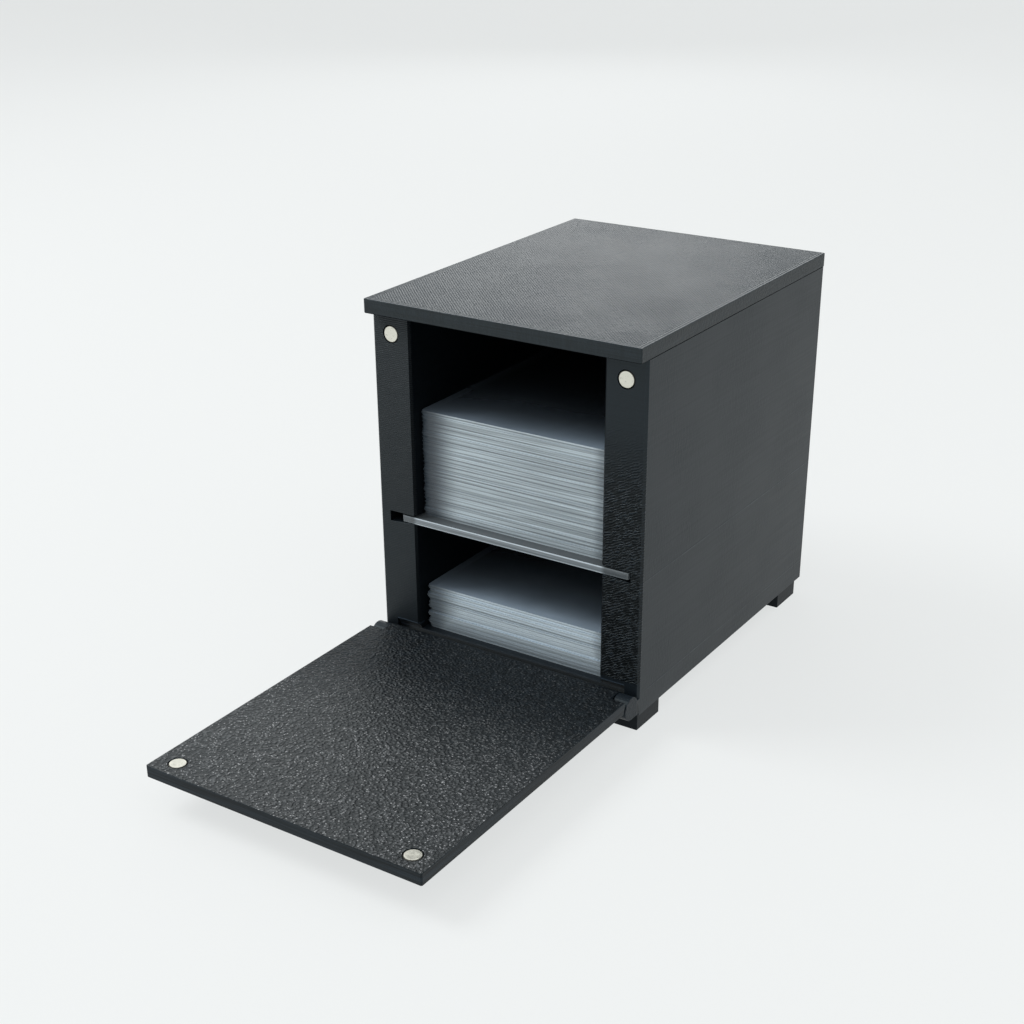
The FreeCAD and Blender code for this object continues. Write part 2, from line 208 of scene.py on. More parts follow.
class Tree:
    """Adds nodes to a node tree and links what it is given."""

    def __init__(self, tree):
        self.tree = tree

    def add(self, kind, inputs=None, **options):
        node = configure(self.tree.nodes.new(kind), **options)
        for key, value in (inputs or {}).items():
            self.put(value, node.inputs[key])
        return node

    def put(self, value, socket):
        if isinstance(value, bpy.types.NodeSocket):
            self.tree.links.new(value, socket)
        else:
            socket.default_value = value

    def first(self, kind, inputs=None, **options):
        """The first output of a new node."""
        return self.add(kind, inputs, **options).outputs[0]

    def math(self, operation, a, b=0.0, clamp=False):
        return self.first("ShaderNodeMath", {0: a, 1: b}, operation=operation, use_clamp=clamp)

    def times(self, product, *others):
        for other in others:
            product = self.math("MULTIPLY", product, other)
        return product

    def plus(self, a, b, clamp=False):
        return self.math("ADD", a, b, clamp)

    def minus(self, a, b, clamp=False):
        return self.math("SUBTRACT", a, b, clamp)

    def size(self, value):
        return self.math("ABSOLUTE", value)

    def stretch(self, vector, factors):
        return self.first("ShaderNodeVectorMath", {0: vector, 1: factors}, operation="MULTIPLY")

    def split(self, vector):
        return tuple(self.add("ShaderNodeSeparateXYZ", {0: vector}).outputs)

    def places(self, space="Object"):
        """A place in space, and its X, Y and Z."""
        position = self.add("ShaderNodeTexCoord").outputs[space]
        return position, *self.split(position)

    def join(self, x, y, z):
        return self.first("ShaderNodeCombineXYZ", {0: x, 1: y, 2: z})

    def ramp(self, value, low, high, to_low=0.0, to_high=1.0, kind="SMOOTHSTEP"):
        return self.first("ShaderNodeMapRange",
                          {"Value": value, "From Min": low, "From Max": high,
                           "To Min": to_low, "To Max": to_high}, interpolation_type=kind)

    def spread(self, noise, to_low=0.0, to_high=1.0):
        """Noise, which mostly lies between 0.3 and 0.7, drawn out to a range."""
        return self.ramp(noise, 0.3, 0.7, to_low, to_high)

    def blend(self, mask, low, high):
        """A number that goes straight from low to high with the mask."""
        return self.ramp(mask, 0.0, 1.0, low, high, "LINEAR")

    def distance_mask(self, value, place, start, end):
        """A mask that goes from 0 to 1 between two distances from a place."""
        return self.ramp(self.size(self.minus(value, place)), start, end)

    def noise(self, vector, scale, detail=2.0, roughness=0.6):
        return self.first("ShaderNodeTexNoise",
                          {"Vector": vector, "Scale": scale, "Detail": detail,
                           "Roughness": roughness})

    def streaks(self, vector, factors, detail=2.0, roughness=0.6):
        """Noise with its own scale along each axis."""
        return self.noise(self.stretch(vector, factors), 1.0, detail, roughness)

    def bands(self, vector, scale, waver, detail_scale, detail_roughness):
        """Wavering bands stacked along Z."""
        node = self.add("ShaderNodeTexWave",
                        {"Vector": vector, "Scale": scale, "Distortion": waver, "Detail": 2.0,
                         "Detail Scale": detail_scale, "Detail Roughness": detail_roughness},
                        wave_type="BANDS", bands_direction="Z", wave_profile="SIN")
        return node.outputs["Fac"]

    def mix_number(self, factor, a, b):
        return self.first("ShaderNodeMix", {0: factor, 2: a, 3: b}, data_type="FLOAT")

    def mix_colour(self, factor, a, b):
        return self.add("ShaderNodeMix", {0: factor, 6: a, 7: b}, data_type="RGBA").outputs[2]

    def tones(self, factor, colour, low, high):
        """One colour between a darker and a brighter tone of it."""
        return self.mix_colour(factor, rgba(colour, low), rgba(colour, high))

    def coats(self, shade, *coats):
        """Lays colours one over another, each through its mask."""
        for mask, colour in coats:
            shade = self.mix_colour(mask, shade, colour)
        return shade

    def bumps(self, *reliefs):
        """The normal of reliefs laid one over another: (height, distance, strength) each."""
        normal = {}
        for height, distance, strength in reliefs:
            inputs = {"Height": height, "Distance": distance, "Strength": strength, **normal}
            normal = {"Normal": self.first("ShaderNodeBump", inputs)}
        return normal["Normal"]


def cleared(owner):
    """The node tree of a material or world, emptied."""
    owner.use_nodes = True
    owner.node_tree.nodes.clear()
    return owner.node_tree


class Surface(Tree):
    """The tree of a new material with one Principled shader."""

    def __init__(self, name, specular, cast):
        self.material = bpy.data.materials.new(name)
        super().__init__(cleared(self.material))
        self.shader = self.add("ShaderNodeBsdfPrincipled",
                               {"Specular IOR Level": specular, "Specular Tint": cast})
        self.add("ShaderNodeOutputMaterial", {0: self.shader.outputs[0]})

    def dress(self, colour, roughness, *reliefs, **others):
        """Gives the material its colour, roughness, relief and other values, and returns it."""
        values = {"Base Color": colour, "Roughness": roughness, "Normal": self.bumps(*reliefs),
                  **{label.replace("_", " "): value for label, value in others.items()}}
        for label, value in values.items():
            self.put(value, self.shader.inputs[label])
        return self.material


def is_seen(tree):
    """1 where the camera sees a thing, mirrored or through something clear too, else 0."""
    path = tree.add("ShaderNodeLightPath").outputs
    direct = tree.plus(path["Is Camera Ray"], path["Is Glossy Ray"], clamp=True)
    return tree.plus(direct, path["Is Transmission Ray"], clamp=True)


def new_group(name, kind, inputs):
    """An empty node group with inputs: (label, type, default) each."""
    group = bpy.data.node_groups.new(name, kind)
    for label, socket_type, default in inputs:
        socket = group.interface.new_socket(label, in_out="INPUT",
                                            socket_type="NodeSocket" + socket_type)
        if default is not None:
            socket.default_value = default
    return group


def effect(name, *inputs):
    """Turns a function that fills a shader node group into one that puts the group in a tree."""
    def wrap(fill):
        def place(tree, values):
            if name not in bpy.data.node_groups:
                group = new_group(name, "ShaderNodeTree", inputs)
                inside = Tree(group)
                made = fill(inside, inside.add("NodeGroupInput").outputs)
                for label in made:
                    group.interface.new_socket(label, in_out="OUTPUT",
                                               socket_type="NodeSocketFloat")
                inside.add("NodeGroupOutput", made)
            return tree.add("ShaderNodeGroup", values,
                            node_tree=bpy.data.node_groups[name]).outputs
        return place
    return wrap


def new_surface(name, specular=0.5, cast=NO_CAST):
    """A new material's tree, the place on the surface, and its X, Y and Z."""
    tree = Surface(name, specular, cast)
    return tree, *tree.places()


def rgba(colour, factor):
    return (colour[0] * factor, colour[1] * factor, colour[2] * factor, 1.0)


# Shared surface effects

@effect("layer lines", ("Position", "Vector", None), ("Layer Height", "Float", 0.0002))
def layer_lines(tree, given):
    """Faint level bands of a layered print."""
    x, y, z = tree.split(given["Position"])
    level = tree.join(x, y, tree.math("DIVIDE", z, given["Layer Height"]))
    band = tree.streaks(level, (22.0, 22.0, 0.33), 3.0, 0.65)
    line = tree.streaks(level, (60.0, 60.0, 1.0), 1.0, 0.5)
    height = tree.plus(tree.times(band, 0.7), tree.times(line, 0.3))
    return {"Height": height, "Shade": tree.spread(band)}


@effect("wandering ripple", ("Position", "Vector", None), ("Scale", "Float", 210.0),
        ("Slant", "Float", 0.0), ("Waver", "Float", 5.0))
def wandering_ripple(tree, given):
    """Fine leathery ripple left by a shaking print head."""
    turned = tree.first("ShaderNodeMapping", {
        "Vector": given["Position"], "Rotation": tree.join(0.0, given["Slant"], 0.0)})
    wave = tree.bands(turned, given["Scale"], given["Waver"], 1.4, 0.6)
    gaps = tree.ramp(tree.noise(given["Position"], 620.0), 0.36, 0.60, 0.25, 1.0)
    return {"Height": tree.times(wave, gaps)}


@effect("wall grain", ("Position", "Vector", None), ("Scale", "Float", 1500.0))
def wall_grain(tree, given):
    """Short upright wrinkles on a tall printed wall."""
    fine = tree.noise(tree.stretch(given["Position"], (1.0, 1.0, 0.34)), given["Scale"])
    broad = tree.noise(given["Position"], 38.0, 2.0, 0.5)
    patch = tree.ramp(broad, 0.38, 0.66, 0.35, 1.0)
    return {"Height": tree.times(fine, patch), "Patch": broad}


@effect("edge highlight", ("Width", "Float", 0.0004))
def edge_highlight_mask(tree, given):
    """A mask of the sharp edges, from the bevelled normal, for painted edge highlights."""
    bevel = tree.first("ShaderNodeBevel", {"Radius": given["Width"]}, samples=4)
    normal = tree.add("ShaderNodeNewGeometry").outputs["Normal"]
    dot = tree.add("ShaderNodeVectorMath", {0: bevel, 1: normal},
                   operation="DOT_PRODUCT").outputs["Value"]
    return {"Mask": tree.ramp(dot, 0.995, 0.90)}


@effect("painted glints", ("Position", "Vector", None), ("Scale", "Float", 1500.0),
        ("Rarity", "Float", 0.9))
def painted_glints(tree, given):
    """Tiny bright specks on the build plate's texture: painted glints."""
    cell = tree.add("ShaderNodeTexVoronoi", {"Vector": given["Position"],
                                             "Scale": given["Scale"], "Randomness": 1.0},
                    feature="F1").outputs
    chance = tree.first("ShaderNodeSeparateColor", {0: cell["Color"]})
    chosen = tree.math("GREATER_THAN", chance, given["Rarity"])
    return {"Mask": tree.times(chosen, tree.ramp(cell["Distance"], 0.55, 0.2))}


# painted highlight: the sharp edges are painted lighter through this mask
def painted_edge_highlight(tree, width, strength):
    return tree.times(edge_highlight_mask(tree, {"Width": width})["Mask"], strength)


# Materials of the printed parts

def shell_material(name, tone, specular):
    """Satin black print: leathery post fronts, grained side walls, faint seams, with painted
    highlights on the ripple crests, the hollow's ledges and the sharp edges; a tone below 1 makes a
    darker copy for painted shade.
    """
    look = settings("print")
    plastic = rgba(look.colour, tone)
    tree, position, x, y, z = new_surface(name, specular, COOL_CAST)
    layers = layer_lines(tree, {"Position": position, "Layer Height": look.layer_height})
    grain = wall_grain(tree, {"Position": position, "Scale": 1500.0})
    ripple = wandering_ripple(tree, {"Position": position, "Scale": 340.0, "Waver": 7.5,
                                     "Slant": math.radians(27.0)})["Height"]
    level = tree.bands(position, 450.0, 1.6, 0.5, 0.5)
    # front faces of the two posts, and the right one below the shelf most of all
    is_front = tree.ramp(y, FRONT_FACE + 0.0012, FRONT_FACE + 0.0006)
    is_lobe = tree.ramp(y, FRONT_FACE - 0.0006, FRONT_FACE - 0.0012)
    post = tree.minus(is_front, is_lobe, clamp=True)
    low = tree.times(tree.ramp(z, *LEATHER_FADE, 0.06, 1.0),
                     tree.math("GREATER_THAN", z, LEATHER_FLOOR))
    leather = tree.times(post, tree.ramp(x, 0.0, 0.02), low)
    # painted highlight: the ripple's crests are painted lighter, as where they catch the light
    crest_highlight = tree.times(tree.ramp(ripple, 0.30, 0.85), leather)
    left = tree.times(post, tree.ramp(x, 0.0, -0.02), tree.ramp(z, 0.050, 0.075, 0.35, 1.0))
    side = tree.math("GREATER_THAN", tree.size(x), SHELL_HIGH[0] - 0.0002)
    # seams where the print changes from open walls to bridges
    groove_seam = tree.distance_mask(z, GROOVE_SEAM, 0.00045, 0.0)
    floor_seam = tree.distance_mask(z, FLOOR_SEAM, 0.0004, 0.0)
    worn = tree.ramp(tree.noise(position, 120.0, 3.0, 0.7), 0.35, 0.65, 0.2, 1.0)
    seam = tree.times(tree.plus(groove_seam, floor_seam, clamp=True), side, worn)
    # painted highlights: the hollow's upper lip and the step inside it are painted light where they
    # catch the light
    lip = tree.distance_mask(z, COVE_LIP, 0.0004, 0.00015)
    step = tree.distance_mask(z, COVE_STEP, 0.00035, 0.0001)
    between = tree.math("LESS_THAN", tree.size(x), LOBE_INNER)
    near = tree.ramp(y, FRONT_FACE + 0.0035, FRONT_FACE + 0.003)
    ledge_highlight = tree.times(tree.plus(lip, tree.times(step, 0.5)), between, near)
    turned = tree.streaks(position, (30.0, 1500.0, 1500.0))
    shade = tree.coats(
        tree.tones(layers["Shade"], plastic, 0.92, 1.08),
        (tree.times(seam, 0.5), rgba(plastic, 2.6)),
        (left, rgba(plastic, 0.3)),
        (tree.times(left, tree.ramp(level, 0.25, 0.85)), rgba(plastic, 1.1)),
        (leather, rgba(plastic, 0.2)),
        (crest_highlight, rgba(plastic, 1.5)),
        # painted highlight on the hollow's lip and step
        (tree.times(ledge_highlight, 0.8), rgba(plastic, 7.5)),
        (tree.times(is_lobe, turned), rgba(plastic, 2.4)),
        # painted highlight along the sharp edges
        (painted_edge_highlight(tree, 0.0005, 0.30), rgba(plastic, 3.4)))
    rough = tree.spread(grain["Patch"], look.roughness - 0.012, look.roughness + 0.012)
    return tree.dress(
        shade, tree.minus(rough, tree.times(layers["Shade"], 0.03)),
        (layers["Height"], 0.00003, 0.8),
        (tree.times(level, left), 0.00015, 1.0),
        (grain["Height"], 0.00009, 0.8),
        (tree.times(ripple, leather), 0.00022, 1.0),
        (tree.times(turned, is_lobe), 0.00016, 0.9),
        (seam, 0.00008, 0.8))


def lid_material():
    """Satin black print with slanting top lines inside a narrow border."""
    look = settings("print")
    tree, position, x, y, z = new_surface("printed_lid", 0.43, COOL_CAST)
    layers = layer_lines(tree, {"Position": position, "Layer Height": look.layer_height})
    top = tree.math("GREATER_THAN", z, LID_HIGH[2] - 0.0001)
    inset = tree.math("MINIMUM", tree.minus(LID_HIGH[0], tree.size(x)),
                      tree.math("MINIMUM", tree.minus(y, LID_LOW[1]), tree.minus(LID_HIGH[1], y)))
    turn = math.tau / look.hatch_pitch
    wobble = tree.times(tree.noise(position, 60.0, 2.0, 0.5), 2.4)
    diagonal = tree.plus(x, y)
    slanting = tree.math("SINE", tree.plus(tree.times(diagonal, turn / math.sqrt(2.0)), wobble))
    border = tree.math("SINE", tree.times(inset, turn * 0.8))
    lines = tree.mix_number(tree.ramp(inset, 0.0023, 0.0026), border, slanting)
    along = tree.noise(tree.join(tree.times(diagonal, 700.0),
                                 tree.times(tree.minus(x, y), 20.0), 0.0), 1.0)
    patch = tree.noise(position, 24.0, 3.0)
    near = tree.math("MAXIMUM", tree.ramp(y, LID_LOW[1] + 0.034, LID_LOW[1] + 0.006),
                     tree.ramp(x, LID_HIGH[0] - 0.030, LID_HIGH[0] - 0.006))
    strength = tree.times(tree.ramp(patch, 0.36, 0.66, 0.45, 1.0), tree.blend(near, 0.75, 1.2))
    height = tree.times(lines, strength, top)
    print_lines = tree.times(tree.minus(1.0, top), layers["Shade"])
    shade = tree.coats(
        tree.tones(tree.spread(along), look.colour, 0.8, 1.3),
        (tree.ramp(height, 0.0, 0.9, 0.0, 0.6), rgba(look.colour, 3.0)),
        (tree.times(print_lines, 0.7), rgba(look.colour, 0.2)),
        # painted highlight along the sharp edges
        (painted_edge_highlight(tree, 0.0004, 0.35), rgba(look.colour, 3.6)))
    mottle = tree.noise(position, 75.0, 3.0, 0.7)
    rough = tree.spread(mottle, look.roughness - 0.008, look.roughness + 0.008)
    grain = tree.times(tree.noise(position, 1100.0),
                       tree.ramp(y, 0.0, LID_HIGH[1], 1.8, 2.9, "LINEAR"))
    return tree.dress(
        shade, tree.plus(rough, tree.times(along, 0.05)),
        (layers["Height"], 0.00014, 0.9),
        (height, 0.000075, 1.0),
        (tree.times(along, top), 0.00009, 0.9),
        (grain, 0.00008, 0.9))


def door_material():
    """Black print whose inner face carries the build plate's pebbles, painted glints, painted
    highlights on the pebble tips and painted light away from the hinge.
    """
    look = settings("print")
    tree, position, x, y, z = new_surface("printed_door", 0.23, COOL_CAST)
    layers = layer_lines(tree, {"Position": position, "Layer Height": look.layer_height})
    face = tree.math("GREATER_THAN", z, DOOR_HIGH[2] - 0.0001)
    warp = tree.add("ShaderNodeTexNoise", {"Vector": position, "Scale": 420.0, "Detail": 2.0})
    shift = tree.stretch(warp.outputs["Color"], (0.0006, 0.0006, 0.0006))
    warped = tree.first("ShaderNodeVectorMath", {0: position, 1: shift}, operation="ADD")
    cell = tree.add("ShaderNodeTexVoronoi", {"Vector": warped, "Scale": 1.0 / look.pebble_size,
                                             "Smoothness": 0.6}, feature="SMOOTH_F1")
    pebble = tree.ramp(cell.outputs["Distance"], 0.75, 0.05)
    fine = tree.noise(position, 1900.0)
    broad = tree.noise(position, 300.0)
    height = tree.plus(tree.times(pebble, tree.spread(broad, 0.55, 1.0)), tree.times(fine, 0.35))
    glint_spots = painted_glints(tree, {"Position": warped, "Scale": 1600.0, "Rarity": 0.86})["Mask"]
    # painted light: the face is painted brighter away from the hinge, where the box shades it less,
    # and a little less bright on the left
    painted_door_light = tree.times(tree.ramp(y, *PAINTED_LIGHT_FADE), face, tree.ramp(x, *DIM_LEFT, 0.85, 1.0))
    # painted glints: a few tiny specks are painted bright, fewer near the hinge
    glints = tree.times(glint_spots, tree.blend(painted_door_light, 0.16, 1.0), face)
    uneven = tree.plus(tree.times(pebble, 0.8), tree.times(fine, 0.4))
    # painted highlight: the pebbles' tips are painted lighter, more so away from the hinge
    tip_highlight = tree.times(tree.ramp(uneven, 0.35, 0.95), painted_door_light)
    shade = tree.coats(
        tree.tones(tree.spread(broad), look.colour, 0.3, 0.8),
        (painted_door_light, PAINTED_LIGHT_FACE),
        (tip_highlight, PEBBLE_TIP_HIGHLIGHT),
        (glints, FLECK_GLINT),
        # painted highlight along the sharp edges
        (painted_edge_highlight(tree, 0.0004, 0.30), rgba(look.colour, 3.4)))
    rough = tree.blend(painted_door_light, look.roughness + 0.12, look.roughness - 0.04)
    relief = tree.times(height, face, tree.blend(painted_door_light, 0.6, 1.3),
                        tree.ramp(x, *DIM_LEFT, 0.62, 1.0))
    return tree.dress(shade, tree.minus(rough, tree.times(glints, 0.12)),
                      (layers["Height"], 0.00006, 0.7), (relief, 0.00085, 1.0))


def door_edge_material():
    """Darker edges of the door, with the print's level lines plain to see."""
    look = settings("print")
    tree, position = new_surface("printed_door_edge", 0.22, COOL_CAST)[:2]
    layers = layer_lines(tree, {"Position": position, "Layer Height": look.layer_height * 1.5})
    shade = tree.coats(tree.tones(layers["Shade"], look.colour, 0.25, 1.5),
                       # painted highlight along the sharp edges
                       (painted_edge_highlight(tree, 0.0004, 0.30), rgba(look.colour, 3.4)))
    return tree.dress(shade, look.roughness, (layers["Height"], 0.00014, 0.9))


# Materials of the clear and metal pieces

def film_edge_material(name, factor):
    """Milky cut edges of the clear films, streaked along the cut and darker at the sides, with
    painted light on the lower stack and painted shade at its bottom.
    """
    look = settings("holders")
    tree, position, x, y, z = new_surface(name)
    streak = tree.streaks(position, (16.0, 16.0, 1150.0))
    cloud = tree.streaks(position, (36.0, 0.0, 70.0), 2.0, 0.5)
    cut = tree.math("SINE", tree.plus(tree.times(z, math.tau / CUT_PITCH), tree.times(cloud, 2.2)))
    tone = tree.plus(tree.times(streak, 0.9),
                     tree.plus(tree.times(cloud, 0.10), tree.times(cut, 0.05)))
    # painted light: the lower stack's cut edges are painted brighter
    lit = tree.ramp(z, 0.033, 0.058, 0.80 * factor, 0.0)
    # the clear welds let the dark inside show through
    half = look.width / 2
    side = tree.math("MAXIMUM", tree.ramp(x, 0.0165 - half, 0.0030 - half),
                     tree.ramp(x, half - 0.0060, half - 0.0020, 0.0, 0.5))
    side = tree.times(side, tree.ramp(z, *LOWER_STACK_FADE, 0.80, 0.93))
    # painted shade: the lowest holders are painted darker towards the bottom
    painted_bottom_shade = tree.ramp(z, LOWER_LOW[2] + 0.0095, LOWER_LOW[2] + 0.0005, 0.0, 0.62)
    shade = tree.coats(
        tree.tones(tree.ramp(tone, 0.34, 0.66), look.edge_colour, 0.70 * factor, 1.30 * factor),
        (lit, LIT_FILM_EDGE),
        (tree.math("MAXIMUM", side, painted_bottom_shade), DARK_INSIDE_AND_SHADE))
    return tree.dress(shade, tree.spread(streak, 0.22, 0.42), (streak, 0.00006, 0.6))


def film_material():
    """Flat of a clear rigid film, over the dark inside of the box, with painted light near its
    front edge.
    """
    look = settings("holders")
    tree, position, x, y, z = new_surface("film_flat")
    half = look.width / 2
    haze = tree.noise(position, 26.0, 3.0)
    smudge = tree.noise(tree.stretch(position, (1.0, 0.5, 1.0)), 90.0, 3.0, 0.7)
    weld = tree.ramp(tree.size(x), half - look.weld - 0.0004, half - look.weld)
    # painted light: the flat is painted bright near the front edge, as if light taken in there dies
    # away towards the back, dimmer on the left and brighter on the lower stack
    depth = tree.math("DIVIDE", tree.minus(y, UPPER_LOW[1]), -PAINTED_LIGHT_DEPTH)
    glow = tree.times(tree.math("EXPONENT", depth),
                      tree.ramp(x, -half, half, 0.62, 1.0, "LINEAR"),
                      tree.ramp(z, *LOWER_STACK_FADE, 1.35, 1.0))
    shade = tree.tones(tree.spread(haze), look.film_colour, 0.86, 1.14)
    shade = tree.mix_colour(glow, rgba(look.film_colour, 0.05), shade)
    shade = tree.mix_colour(tree.times(weld, 0.35), shade, rgba(look.film_colour, 0.45))
    return tree.dress(shade, tree.ramp(smudge, 0.35, 0.7, 0.10, 0.24), (haze, 0.0004, 0.25),
                      Coat_Weight=0.6, Coat_Roughness=0.06)


def shelf_material():
    """Polished clear sheet: its flat over the dark inside."""
    look = settings("hardware")
    tree, position = new_surface("clear_shelf")[:2]
    haze = tree.noise(position, 40.0)
    return tree.dress(tree.tones(haze, look.shelf_colour, 0.16, 0.26),
                      tree.spread(haze, 0.05, 0.14), (haze, 0.0002, 0.2))


def shelf_edge_material():
    """Sawn and lightly polished edge of the clear sheet, with painted highlights along its corners
    and painted shade where it sits in the posts' grooves.
    """
    look = settings("hardware")
    tree, position, x, y, z = new_surface("clear_shelf_edge")
    # painted highlight: the edge is painted bright along its top and bottom corners
    corner_highlight = tree.distance_mask(z, middle(SHELF_LOW, SHELF_HIGH)[2], 0.00070, 0.00100)
    streak = tree.streaks(position, (26.0, 26.0, 1500.0))
    tone = tree.plus(tree.times(corner_highlight, 0.75), tree.times(streak, 0.35))
    # painted shade: in front of the posts the edge is painted dark, as only the shaded grooves show
    # through it
    groove_shade = tree.ramp(tree.size(x), POST_INNER - 0.0005, POST_INNER + 0.0015)
    shade = tree.coats(tree.tones(tone, look.shelf_colour, 0.32, 1.45),
                       (tree.times(groove_shade, 0.82), rgba(look.shelf_colour, 0.18)))
    return tree.dress(shade, tree.spread(streak, 0.18, 0.34), (streak, 0.00005, 0.6))


def metal_material(name, colour, roughness, scratch_scale):
    """Plated or drawn metal with fine marks and cloudy sheen."""
    tree, position = new_surface(name)[:2]
    cloud = tree.noise(position, 520.0, 3.0)
    mark = tree.noise(tree.stretch(position, (1.0, 3.0, 1.0)), scratch_scale, 2.0, 0.7)
    spot = tree.ramp(tree.noise(position, 1300.0), 0.58, 0.70, 0.0, 0.5)
    shade = tree.coats(tree.tones(cloud, colour, 0.82, 1.12), (spot, rgba(colour, 0.55)))
    return tree.dress(shade, tree.spread(cloud, roughness - 0.06, roughness + 0.07),
                      (mark, 0.00002, 0.5), Metallic=1.0)


# Meshes

def new_object(name, data):
    thing = bpy.data.objects.new(name, data)
    bpy.context.scene.collection.objects.link(thing)
    return thing


def new_piece(name, mesh, *materials):
    for material in materials:
        mesh.materials.append(material)
    return new_object(name, mesh)


def shade_faces(mesh, smooth):
    for face in mesh.polygons:
        face.use_smooth = smooth


def apply_modifiers(piece):
    """Gives the piece the mesh that its modifiers make."""
    graph = bpy.context.evaluated_depsgraph_get()
    done = bpy.data.meshes.new_from_object(piece.evaluated_get(graph))
    piece.modifiers.clear()
    old = piece.data
    piece.data = done
    done.name = piece.name
    bpy.data.meshes.remove(old)


def printed_copy(node, name, width, *materials):
    """A merged copy of a CAD node whose sharp edges are softly rounded."""
    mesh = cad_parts[node].data.copy()
    mesh.materials.clear()
    shape = bmesh.new()
    shape.from_mesh(mesh)
    bmesh.ops.remove_doubles(shape, verts=shape.verts, dist=2e-6)
    shape.to_mesh(mesh)
    shape.free()
    mesh.name = name
    shade_faces(mesh, True)
    piece = new_piece(name, mesh)
    configure(piece.modifiers.new("soft edges", "BEVEL"), width=width, segments=2,
              limit_method="ANGLE", angle_limit=math.radians(38.0), use_clamp_overlap=False)
    configure(piece.modifiers.new("flat faces stay flat", "WEIGHTED_NORMAL"),
              mode="FACE_AREA", weight=80, keep_sharp=True)
    apply_modifiers(piece)
    piece.data.materials.clear()
    for material in materials:
        piece.data.materials.append(material)
    return piece


def quarter(start, steps):
    """Cosine and sine at even steps of a quarter circle that starts at an angle in degrees."""
    angles = [math.radians(start + 90.0 * step / steps) for step in range(steps + 1)]
    return [(math.cos(angle), math.sin(angle)) for angle in angles]


def skin(rings, dished=False):
    """A closed shape through rings of points: its sides, but not a dish on top, use slot 1."""
    shape = bmesh.new()
    rings = [[shape.verts.new(point) for point in ring] for ring in rings]
    for lower, upper in zip(rings, rings[1:]):
        is_dish = dished and upper is rings[-1]
        for k in range(len(lower)):
            after = (k + 1) % len(lower)
            side = shape.faces.new((lower[k], lower[after], upper[after], upper[k]))
            side.material_index = 0 if is_dish else 1
    shape.faces.new(list(reversed(rings[0])))
    shape.faces.new(rings[-1])
    bmesh.ops.recalc_face_normals(shape, faces=shape.faces)
    return shape


def turned_disc(radius, thickness, edge, segments=72, steps=4):
    """A disc about Z from 0 up to its thickness, with rounded rims and a faint dish."""
    profile = [(radius - edge, 0.0)]
    for centre, start in ((edge, -90.0), (thickness - edge, 0.0)):
        for cos, sin in quarter(start, steps)[1:]:
            profile.append((radius - edge + edge * cos, centre + edge * sin))
    profile.append((radius * 0.55, thickness - edge * 0.03))
    turns = [math.tau * k / segments for k in range(segments)]
    return skin([[(reach * math.cos(turn), reach * math.sin(turn), level) for turn in turns]
                 for reach, level in profile], dished=True)


def rounded_plate(low, high, corner, edge, steps=8):
    """A level plate with round corners and bevelled rims."""
    left, front = low[0] + corner, low[1] + corner
    right, back = high[0] - corner, high[1] - corner
    outline = [(cx, cy, cos, sin)
               for cx, cy, start in ((right, back, 0.0), (left, back, 90.0),
                                     (left, front, 180.0), (right, front, 270.0))
               for cos, sin in quarter(start, steps)]
    bevel = ((edge, 0.0), (edge * 0.3, edge * 0.3), (0.0, edge))
    levels = [(corner - inset, low[2] + rise) for inset, rise in bevel]
    levels += [(corner - inset, high[2] - rise) for inset, rise in reversed(bevel)]
    return skin([[(cx + reach * cos, cy + reach * sin, level) for cx, cy, cos, sin in outline]
                 for reach, level in levels])


def mesh_from(shape, name):
    mesh = bpy.data.meshes.new(name)
    shape.to_mesh(mesh)
    shape.free()
    shade_faces(mesh, True)
    mesh.set_sharp_from_angle(angle=math.radians(32.0))
    return mesh


# Card holder stack, as a Geometry Nodes tree

STACK_INPUTS = (
    ("Geometry", "Geometry", None),
    ("Count", "Int", 26), ("Pitch", "Float", 0.00155), ("Width", "Float", 0.0762),
    ("Length", "Float", 0.1016), ("Film", "Float", 0.00052), ("Weld", "Float", 0.0026),
    ("Corner", "Float", 0.0011), ("Sway", "Float", 0.0002), ("Slide", "Float", 0.0004),
    ("Seed", "Int", 3), ("Start", "Vector", (0.0, 0.0, 0.0)),
    ("Film Material", "Material", None), ("Edge Material", "Material", None),
    ("Weld Material", "Material", None),
)
HOLDER_GAP = 0.00005
WELD_INSET = 0.00007


